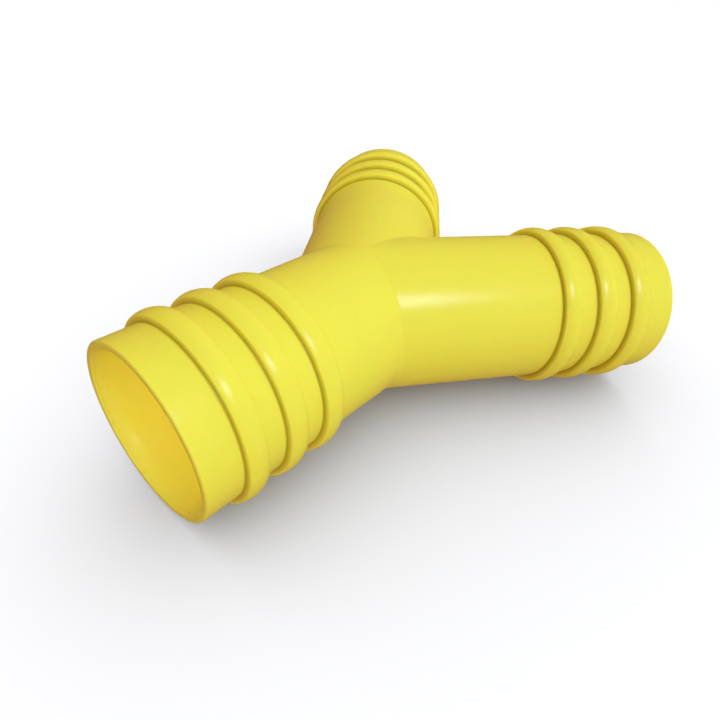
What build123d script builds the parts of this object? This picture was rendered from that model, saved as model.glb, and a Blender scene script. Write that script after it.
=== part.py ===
from build123d import *
import math
import os

# A one-piece moulded Y connector for hose. A straight stem splits into two equal branches in one
# plane, and each of the three tubes ends in a plain nose and a row of ribs that grip the hose.
# +Z is up. The connector lies flat, with the three tube axes in one level plane, the stem pointing
# to -Y and the branches leaning out to either side of +Y. The origin is at the centre of its base.

# Driving dimensions, in millimetres and degrees.
tube_radius = 19.0  # outside of all three tubes
wall = 2.6  # thickness of the plain tube
stem_length = 59.0  # from the point where the axes meet to the stem's mouth
branch_length = 78.0  # from the point where the axes meet to a branch's mouth
branch_lean = 35.0  # between a branch and the stem's own line carried on

nose_length = 8.2  # plain end of a tube, from its mouth to the first rib
rib_count = 3
rib_pitch = 9.65
rib_width = 4.4
rib_height = 1.9  # at the flat middle of a rib's top
rib_shoulder = 1.4  # at a rib's square sides, below the sloping shoulders
rib_flat = 1.8  # width of the flat

lip_bevel = 0.4  # outer edge of a mouth
lead_in_length = 4.0  # flare inside a mouth
lead_in_flare = 1.0  # how much wider than the bore the flare opens

crease_fillet = 2.5  # where two tubes meet

# Sizes that follow from them.
bore_radius = tube_radius - wall
rib_radius = tube_radius + rib_height
lean = math.radians(branch_lean)

# A branch reaches furthest along Y at one of the two corners of its bevelled lip.
branch_reach = max(
    branch_length * math.cos(lean) + (tube_radius - lip_bevel) * math.sin(lean),
    (branch_length - lip_bevel) * math.cos(lean) + tube_radius * math.sin(lean),
)

# The axes meet at the junction, which stands over the origin by the radius of a rib.
junction = Vector(0, (stem_length - branch_reach) / 2, rib_radius)
up = Vector(0, 0, 1)
tubes = [
    (Vector(0, -1, 0), stem_length),
    (Vector(math.sin(lean), math.cos(lean), 0), branch_length),
    (Vector(-math.sin(lean), math.cos(lean), 0), branch_length),
]


def tube_section(direction):
    """The upright plane along a tube: X runs from the junction to the mouth, and Y points up."""
    return Plane(origin=junction, x_dir=direction, z_dir=direction.cross(up))


# The waterway: three bores that meet at the junction, each flared at its mouth.
with BuildPart() as waterway:
    for direction, length in tubes:
        with BuildSketch(tube_section(direction)):
            with BuildLine():
                Polyline(
                    (0, 0),
                    (0, bore_radius),
                    (length - lead_in_length, bore_radius),
                    (length, bore_radius + lead_in_flare),
                    (length, 0),
                    close=True,
                )
            make_face()
        revolve(axis=Axis(junction, direction))

# The section of one rib, with its middle at X = 0, the tube's surface at Y = 0 and its foot sunk
# into the wall.
with BuildSketch() as rib:
    with BuildLine():
        Polyline(
            (-rib_width / 2, -wall / 2),
            (-rib_width / 2, rib_shoulder),
            (-rib_flat / 2, rib_height),
            (rib_flat / 2, rib_height),
            (rib_width / 2, rib_shoulder),
            (rib_width / 2, -wall / 2),
            close=True,
        )
    make_face()

with BuildPart() as y_connector:
    # Three ribbed tubes, each turned about its own axis.
    for direction, length in tubes:
        first_rib = length - nose_length - rib_width / 2
        with BuildSketch(tube_section(direction)):
            Rectangle(length, tube_radius, align=Align.MIN)
            chamfer(vertices().group_by(Axis.X)[-1].sort_by(Axis.Y)[-1], length=lip_bevel)
            with Locations([(first_rib - i * rib_pitch, tube_radius) for i in range(rib_count)]):
                add(rib.sketch)
        revolve(axis=Axis(junction, direction))

    # The tubes meet in three half ellipses, which are blended before the bores are cut.
    creases = edges().filter_by(GeomType.ELLIPSE)
    fillet(creases, radius=crease_fillet)
    add(waterway.part, mode=Mode.SUBTRACT)

y_connector.part.label = "y_connector"

os.makedirs("parts", exist_ok=True)
export_step(y_connector.part, "parts/y_connector.step")
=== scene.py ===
import math

import bmesh
import bpy
import numpy as np
from mathutils import Matrix, Vector


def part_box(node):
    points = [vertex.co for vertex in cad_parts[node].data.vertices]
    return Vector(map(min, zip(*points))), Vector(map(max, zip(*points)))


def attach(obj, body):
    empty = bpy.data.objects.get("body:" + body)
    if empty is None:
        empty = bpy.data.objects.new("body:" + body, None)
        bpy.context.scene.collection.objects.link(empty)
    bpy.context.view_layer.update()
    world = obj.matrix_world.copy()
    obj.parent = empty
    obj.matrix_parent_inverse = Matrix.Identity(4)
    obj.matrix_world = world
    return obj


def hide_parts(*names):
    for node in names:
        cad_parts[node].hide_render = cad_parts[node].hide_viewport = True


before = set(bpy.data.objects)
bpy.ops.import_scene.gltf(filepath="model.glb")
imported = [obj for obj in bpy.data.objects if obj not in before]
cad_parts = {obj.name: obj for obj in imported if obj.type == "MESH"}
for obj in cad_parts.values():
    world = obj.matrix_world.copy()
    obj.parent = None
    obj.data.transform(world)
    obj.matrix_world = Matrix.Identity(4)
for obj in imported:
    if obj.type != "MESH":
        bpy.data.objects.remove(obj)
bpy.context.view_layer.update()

millimetre = 0.001
tiny = 1e-6


class Value:
    # wraps one socket, so that shader maths reads as plain expressions
    def __init__(self, tree, socket):
        self.tree = tree
        self.socket = socket

    def math(self, operation, *values):
        return self.tree.node("ShaderNodeMath", {"operation": operation}, dict(enumerate(values)))

    def __add__(self, other):
        return self.math("ADD", self, other)

    def __radd__(self, other):
        return self.math("ADD", other, self)

    def __sub__(self, other):
        return self.math("SUBTRACT", self, other)

    def __rsub__(self, other):
        return self.math("SUBTRACT", other, self)

    def __mul__(self, other):
        return self.math("MULTIPLY", self, other)

    def __rmul__(self, other):
        return self.math("MULTIPLY", other, self)


class Shader:
    # the node tree of one material or of the world
    def __init__(self, owner):
        self.owner = owner
        owner.use_nodes = True
        self.nodes = owner.node_tree.nodes
        self.links = owner.node_tree.links
        self.nodes.clear()

    def node(self, kind, settings=None, inputs=None, output=0):
        # one node of that type, its settings first, then the values or links of its sockets
        made = self.nodes.new(kind)
        for name, setting in (settings or {}).items():
            setattr(made, name, setting)
        for name, value in (inputs or {}).items():
            if isinstance(value, Value):
                self.links.new(value.socket, made.inputs[name])
            else:
                made.inputs[name].default_value = value
        return Value(self, made.outputs[output])

    def blend(self, share, first, second):
        # a colour between two, each a Value or a plain (red, green, blue)
        # sockets 0, 6 and 7 are the Mix node's factor and its two colours, and output 2 is the colour
        colours = [c if isinstance(c, Value) else (*c, 1) for c in (first, second)]
        return self.node("ShaderNodeMix", {"data_type": "RGBA"},
                         {0: share, 6: colours[0], 7: colours[1]}, output=2)

    def finish(self, kind, shader):
        output = self.nodes.new(kind)
        self.links.new(shader.socket, output.inputs["Surface"])
        return self.owner


plastic = {
    "yellow": (0.75, 0.715, 0.066),
    "paler": (0.77, 0.735, 0.076),
    "paintedShade": (0.46, 0.39, 0.021),  # painted shade along the feet of the ribs
    "roughness": 0.25,  # a little more left specks and dark blotches in renders
    "roughnessRange": 0.04,
    "mottleScale": 60.0,  # both scales are per metre
    "mottleDetail": 3.0,
    "grainScale": 2600.0,
    "grainDetail": 2.0,
    "grainDepth": 0.004 * millimetre,
    "refraction": 1.5,
    "subsurface": 0.4,
    "subsurfaceRadius": (1.0, 0.5, 0.1),
    "subsurfaceDepth": 2.0 * millimetre,
}


def mouldedPlastic():
    p = plastic
    shader = Shader(bpy.data.materials.new("mouldedPlastic"))
    place = shader.node("ShaderNodeTexCoord", output="Object")
    mottle = shader.node("ShaderNodeTexNoise", {}, {
        "Vector": place, "Scale": p["mottleScale"], "Detail": p["mottleDetail"]})
    grain = shader.node("ShaderNodeTexNoise", {}, {
        "Vector": place, "Scale": p["grainScale"], "Detail": p["grainDetail"]})
    # the corner attribute holds the painted shade at the feet of the ribs, which darkens the yellow there
    corner = shader.node("ShaderNodeAttribute", {"attribute_name": "corner"}, output="Fac")
    surface = shader.blend(mottle, p["yellow"], p["paler"])
    print("plastic: yellow with a deeper tone at the ribs")
    return shader.finish("ShaderNodeOutputMaterial", shader.node("ShaderNodeBsdfPrincipled", {}, {
        "Base Color": shader.blend(corner, surface, p["paintedShade"]),
        "Roughness": p["roughness"] + (mottle - 0.5) * p["roughnessRange"],
        "Normal": shader.node("ShaderNodeBump", {}, {"Height": grain, "Distance": p["grainDepth"]}),
        "IOR": p["refraction"],
        "Subsurface Weight": p["subsurface"],
        "Subsurface Radius": p["subsurfaceRadius"],
        "Subsurface Scale": p["subsurfaceDepth"],
    }))


connector = {
    "radius": 19.0 * millimetre,
    "wall": 2.6 * millimetre,
    "stemLength": 59.0 * millimetre,
    "branchLength": 78.0 * millimetre,
    "lean": math.radians(35.0),  # of a branch, from the stem's line carried on
    "noseLength": 8.2 * millimetre,
    "ribCount": 3,
    "ribPitch": 9.65 * millimetre,
    "ribWidth": 4.4 * millimetre,
    "ribHeight": 1.9 * millimetre,
    "ribShoulder": 1.4 * millimetre,  # height of a rib's square sides, below its arched top
    "ribRound": 0.12 * millimetre,  # of the edges between a rib's sides and its top
    "footRound": 0.12 * millimetre,
    "paintedShadeSpread": 0.4 * millimetre,  # how far the painted shade spreads from a foot on the tube
    "lipRound": 0.4 * millimetre,
    "leadInLength": 4.0 * millimetre,
    "leadInFlare": 1.0 * millimetre,
    "creaseRound": 2.5 * millimetre,
    "around": 240,  # facets round a tube
    "roundSteps": 6,  # facets over a small round
    "footSteps": 3,  # facets over the round at a rib's foot or edge
    "archSteps": 10,  # facets over a rib's top
    "creaseSteps": 10,  # facets over half of a crease
    "spanSteps": 8,  # facets from a crease to the ribs
    "mergeDistance": 0.002 * millimetre,
    "shortestEdge": 0.0005 * millimetre,
    "sharpAngle": math.radians(40),
}


def arc(centre, radius, start, end, steps):
    # points on an arc in a tube's section, where x runs along the tube and y out from its axis.
    # start and end are in degrees
    angles = [math.radians(start + (end - start) * i / steps) for i in range(steps + 1)]
    return [(centre[0] + radius * math.cos(a), centre[1] + radius * math.sin(a)) for a in angles]


def ribLine(mouthSide):
    # one rib, from its junction side to its mouth side: foot, side, arched top, side and foot
    c = connector
    low, half, foot, corner = c["radius"], c["ribWidth"] / 2, c["footRound"], c["ribRound"]
    arch = c["ribHeight"] - c["ribShoulder"]
    archRadius = (half * half + arch * arch) / (2 * arch)
    middle, archCentre = mouthSide - half, low + c["ribHeight"] - archRadius
    inset = half - corner
    rise = math.sqrt((archRadius - corner) ** 2 - inset ** 2)
    lean = math.degrees(math.atan2(inset, rise))
    return (
        [(middle - half - foot - c["paintedShadeSpread"], low)]
        + arc((middle - half - foot, low + foot), foot, -90, 0, c["footSteps"])
        + arc((middle - inset, archCentre + rise), corner, 180, 90 + lean, c["footSteps"])
        + arc((middle, archCentre), archRadius, 90 + lean, 90 - lean, c["archSteps"])[1:]
        + arc((middle + inset, archCentre + rise), corner, 90 - lean, 0, c["footSteps"])[1:]
        + arc((middle + half + foot, low + foot), foot, 180, 270, c["footSteps"])
        + [(middle + half + foot + c["paintedShadeSpread"], low)]
    )


def sectionLine(length):
    # the section of a tube's wall past the creases: out along the ribs, round the lip and back in
    c = connector
    ribs = []
    for rib in reversed(range(c["ribCount"])):
        ribs += ribLine(length - c["noseLength"] - rib * c["ribPitch"])
    outside, inside, lip = c["radius"], c["radius"] - c["wall"] + c["leadInFlare"], c["lipRound"]
    rim = arc((length - lip, outside - lip), lip, 90, 0, c["roundSteps"])
    rim += arc((length - lip, inside + lip), lip, 0, -90, c["roundSteps"])
    bell = (c["leadInLength"] ** 2 + c["leadInFlare"] ** 2) / (2 * c["leadInFlare"])
    opening = math.degrees(math.asin(c["leadInLength"] / bell))
    bellCentre = (length - c["leadInLength"], c["radius"] - c["wall"] + bell)
    leadIn = arc(bellCentre, bell, opening - 90, -90, c["roundSteps"])[1:]
    return ribs + rim + leadIn


def creasePoint(radius, ballRadius, axisAngle, theta, share):
    # a point (along, across, up) on the blend that a ball makes in the crease of two equal tubes.
    # axisAngle is half of the angle between their axes, theta goes round this tube, and share runs
    # from 0 at the middle of the crease to 1 where the ball touches this tube
    reach = radius + ballRadius
    cot = 1 / math.tan(axisAngle)
    centre = np.array([reach * math.cos(theta) * cot, reach * math.cos(theta), reach * math.sin(theta)])
    outward = np.array([0, math.cos(theta), math.sin(theta)])
    # the other tube is this one's mirror image in the plane between them
    mirror = np.array([-math.sin(axisAngle), math.cos(axisAngle), 0])
    partner = outward - 2 * mirror * (outward @ mirror)
    middle = outward + partner
    middle /= np.linalg.norm(middle)
    turn = math.acos(max(-1.0, min(1.0, float(outward @ middle))))
    if turn < tiny:
        return centre - ballRadius * outward
    spread = middle * math.sin((1 - share) * turn) + outward * math.sin(share * turn)
    return centre - ballRadius * spread / math.sin(turn)


def tubeColumns(length, angleAhead, angleBehind):
    # columns of (along, across, up) points round one tube, each from the crease outside to the mouth
    # and back along the bore to where the bores meet
    c = connector
    thetas = [2 * math.pi * i / c["around"] for i in range(c["around"])]
    section = sectionLine(length)
    boreRadius = c["radius"] - c["wall"]
    columns = []
    for theta in thetas:
        ahead = math.cos(theta) >= 0
        axisAngle = angleAhead if ahead else angleBehind
        folded = theta if ahead else math.pi - theta
        flip = np.array([1, 1 if ahead else -1, 1])
        shares = [i / c["creaseSteps"] for i in range(c["creaseSteps"] + 1)]
        column = [creasePoint(c["radius"], c["creaseRound"], axisAngle, folded, share) * flip
                  for share in shares]
        outward = np.array([0, math.cos(theta), math.sin(theta)])
        start = column[-1][0]
        for i in range(1, c["spanSteps"]):
            along = start + (section[0][0] - start) * i / c["spanSteps"]
            column.append(np.array([along, 0, 0]) + c["radius"] * outward)
        column += [np.array([along, 0, 0]) + radius * outward for along, radius in section]
        boreEnd = boreRadius * abs(math.cos(theta)) / math.tan(axisAngle)
        boreStart = section[-1][0]
        for i in range(1, c["spanSteps"] + 1):
            along = boreStart + (boreEnd - boreStart) * i / c["spanSteps"]
            column.append(np.array([along, 0, 0]) + boreRadius * outward)
        columns.append(column)
    return columns


def rowPaintedShade(rows):
    # how much painted shade each row of a tube has: all of it at the feet of the ribs
    c = connector
    firstRib = c["creaseSteps"] + c["spanSteps"]
    ribRows = len(ribLine(0))
    footRows = c["footSteps"] + 1
    shadeShares = [0.0] * rows
    for rib in range(c["ribCount"]):
        start = firstRib + rib * ribRows
        for i in range(1, 1 + footRows):
            shadeShares[start + i] = 1.0
            shadeShares[start + ribRows - 1 - i] = 1.0
    return shadeShares


def buildConnector():
    c = connector
    low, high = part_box("y_connector")
    junction = np.array([0, low.y + c["stemLength"], (low.z + high.z) / 2])
    lean = c["lean"]
    up = np.array([0, 0, 1.0])
    # half of the angle between two tubes' axes
    stemToBranch = (math.pi - lean) / 2
    branchToBranch = lean
    tubes = [(np.array([0, -1.0, 0]), np.array([1.0, 0, 0]), c["stemLength"], stemToBranch, stemToBranch)]
    for side in (1, -1):
        along = np.array([side * math.sin(lean), math.cos(lean), 0])
        across = np.array([side * math.cos(lean), -math.sin(lean), 0])
        tubes.append((along, across, c["branchLength"], stemToBranch, branchToBranch))

    points = []
    corners = []
    faces = []
    for along, across, length, ahead, behind in tubes:
        columns = tubeColumns(length, ahead, behind)
        first = len(points)
        rows = len(columns[0])
        turned = np.linalg.det(np.array([along, across, up])) < 0
        # the share of painted shade at each point, kept on the mesh as the corner attribute
        corners += rowPaintedShade(rows) * len(columns)
        for column in columns:
            points += [junction + p[0] * along + p[1] * across + p[2] * up for p in column]
        for i in range(len(columns)):
            here = first + i * rows
            there = first + (i + 1) % len(columns) * rows
            for j in range(rows - 1):
                face = (here + j, here + j + 1, there + j + 1, there + j)
                faces.append(face if turned else face[::-1])
    mesh = bpy.data.meshes.new("connectorShell")
    mesh.from_pydata([tuple(p) for p in points], [], faces)
    mesh.attributes.new("corner", "FLOAT", "POINT").data.foreach_set("value", corners)
    work = bmesh.new()
    work.from_mesh(mesh)
    bmesh.ops.remove_doubles(work, verts=work.verts, dist=c["mergeDistance"])
    bmesh.ops.dissolve_degenerate(work, edges=work.edges, dist=c["shortestEdge"])
    bmesh.ops.recalc_face_normals(work, faces=work.faces)
    openEdges = sum(1 for e in work.edges if not e.is_manifold)
    work.to_mesh(mesh)
    work.free()
    mesh.shade_smooth()
    mesh.set_sharp_from_angle(angle=c["sharpAngle"])
    shell = bpy.data.objects.new("connectorShell", mesh)
    bpy.context.scene.collection.objects.link(shell)
    mesh.materials.append(mouldedPlastic())
    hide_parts("y_connector")
    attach(shell, "root")
    print("connector:", len(mesh.polygons), "faces,", openEdges, "open edges")
    return shell


studio = {
    "floorSize": 8.0,
    "floorColour": (0.193, 0.201, 0.210),
    "backdropColour": (1, 1, 1),
    "backdropHeight": 4.0,
    "backdropFoot": 0.3,  # how far its walls go down past the floor
    "airColour": (1.0, 0.50, 0.24),  # of the world
    "airStrength": 0.36,
    "overheadStrength": 16.0,  # lights the floor alone
    "overheadSpread": math.radians(170),
    "frontAzimuth": math.radians(-4),
    "frontElevation": math.radians(43),
    "frontSpread": math.radians(130),
    "frontStrength": 1.4,
    "frontColour": (0.20, 1.06, 1.08),
    "fillSpread": math.radians(175),  # from the front's side
    "fillStrength": 1.65,
    "fillColour": (1.18, 0.80, 0.88),
    "backAzimuth": math.radians(105),
    "backElevation": math.radians(5),
    "backSpread": math.radians(60),
    "backStrength": 1.2,
    "keyAzimuth": math.radians(-8),
    "keyElevation": math.radians(48),
    "keyDistance": 0.9,  # the key makes the highlights
    "keySize": 0.22,
    "keyPower": 1.6,
    "keyColour": (0.62, 0.70, 1.0),
}


def towards(azimuth, elevation):
    return Vector((math.cos(elevation) * math.cos(azimuth), math.cos(elevation) * math.sin(azimuth),
                   math.sin(elevation)))


def addLamp(name, kind, direction, lit, distance=1.0, **settings):
    # a lamp that shines from that direction on one object alone
    lamp = bpy.data.lights.new(name, kind)
    for setting, value in settings.items():
        setattr(lamp, setting, value)
    holder = bpy.data.objects.new(name, lamp)
    bpy.context.scene.collection.objects.link(holder)
    low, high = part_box("y_connector")
    holder.location = (low + high) / 2 + direction * distance
    holder.rotation_euler = direction.to_track_quat("Z", "Y").to_euler()
    receivers = bpy.data.collections.new(name + "Receivers")
    receivers.objects.link(lit)
    holder.light_linking.receiver_collection = receivers
    return holder


def addSheet(name, corners, material):
    # four corners for each face. The sheet throws no light on the object and isn't mirrored in it,
    # so the object meets the air behind it instead
    mesh = bpy.data.meshes.new(name)
    faces = [tuple(range(i, i + 4)) for i in range(0, len(corners), 4)]
    mesh.from_pydata(corners, [], faces)
    mesh.materials.append(material)
    sheet = bpy.data.objects.new(name, mesh)
    bpy.context.scene.collection.objects.link(sheet)
    sheet.visible_diffuse = False
    sheet.visible_glossy = False
    return sheet


def buildStudio(shell):
    s = studio
    half, top, foot = s["floorSize"] / 2, s["backdropHeight"], -s["backdropFoot"]
    ring = [(-half, -half), (half, -half), (half, half), (-half, half)]

    paint = Shader(bpy.data.materials.new("floorPaint"))
    paint.finish("ShaderNodeOutputMaterial", paint.node("ShaderNodeBsdfDiffuse", {}, {
        "Color": (*s["floorColour"], 1)}))
    floor = addSheet("floor", [(x, y, 0) for x, y in ring], paint.owner)

    white = Shader(bpy.data.materials.new("backdropWhite"))
    white.finish("ShaderNodeOutputMaterial", white.node("ShaderNodeEmission", {}, {
        "Color": (*s["backdropColour"], 1)}))
    walls = []
    for i in range(4):
        (ax, ay), (bx, by) = ring[i], ring[(i + 1) % 4]
        walls += [(ax, ay, foot), (bx, by, foot), (bx, by, top), (ax, ay, top)]
    walls += [(x, y, top) for x, y in ring]
    backdrop = addSheet("backdrop", walls, white.owner)
    backdrop.visible_shadow = False

    world = bpy.data.worlds.new("studio")
    bpy.context.scene.world = world
    air = Shader(world)
    air.finish("ShaderNodeOutputWorld", air.node("ShaderNodeBackground", {}, {
        "Color": (*s["airColour"], 1), "Strength": s["airStrength"]}))

    overhead = addLamp("overhead", "SUN", Vector((0, 0, 1)), floor, angle=s["overheadSpread"],
                       energy=s["overheadStrength"])
    frontSide = towards(s["frontAzimuth"], s["frontElevation"])
    front = addLamp("front", "SUN", frontSide, shell,
                    angle=s["frontSpread"], energy=s["frontStrength"], color=s["frontColour"])
    # a fill without a shadow, which also reaches the inside of the mouths, but only while its
    # multiple importance sampling is off
    fill = addLamp("fill", "SUN", frontSide, shell,
                   angle=s["fillSpread"], energy=s["fillStrength"], color=s["fillColour"], use_shadow=False)
    fill.data.cycles.use_multiple_importance_sampling = False
    back = addLamp("back", "SUN", towards(s["backAzimuth"], s["backElevation"]), shell,
                   angle=s["backSpread"], energy=s["backStrength"])
    for lamp in (overhead, front, fill, back):
        lamp.visible_glossy = False
    addLamp("key", "AREA", towards(s["keyAzimuth"], s["keyElevation"]), shell, s["keyDistance"],
            shape="SQUARE", size=s["keySize"], energy=s["keyPower"], color=s["keyColour"])
    print("studio: floor, air and lamps")


camera = {
    "place": (66.143 * millimetre, -91.041 * millimetre, 92.436 * millimetre),
    "turn": math.radians(37.537),
    "tilt": math.radians(90 - 38.933),
    "roll": math.radians(6.507),
    "lens": 25.068,
    "sensor": 36.0,
    "nearest": 5.0 * millimetre,
}


def buildCamera():
    c = camera
    lens = bpy.data.cameras.new("camera")
    lens.lens = c["lens"]
    lens.sensor_width = c["sensor"]
    lens.sensor_fit = "HORIZONTAL"
    lens.clip_start = c["nearest"]
    eye = bpy.data.objects.new("camera", lens)
    bpy.context.scene.collection.objects.link(eye)
    turned = Matrix.Rotation(c["turn"], 4, "Z") @ Matrix.Rotation(c["tilt"], 4, "X")
    rolled = turned @ Matrix.Rotation(c["roll"], 4, "Z")
    eye.matrix_world = Matrix.Translation(Vector(c["place"])) @ rolled
    bpy.context.scene.camera = eye
    print("camera: in place")


buildStudio(buildConnector())
buildCamera()
bpy.context.scene.view_settings.view_transform = "Standard"
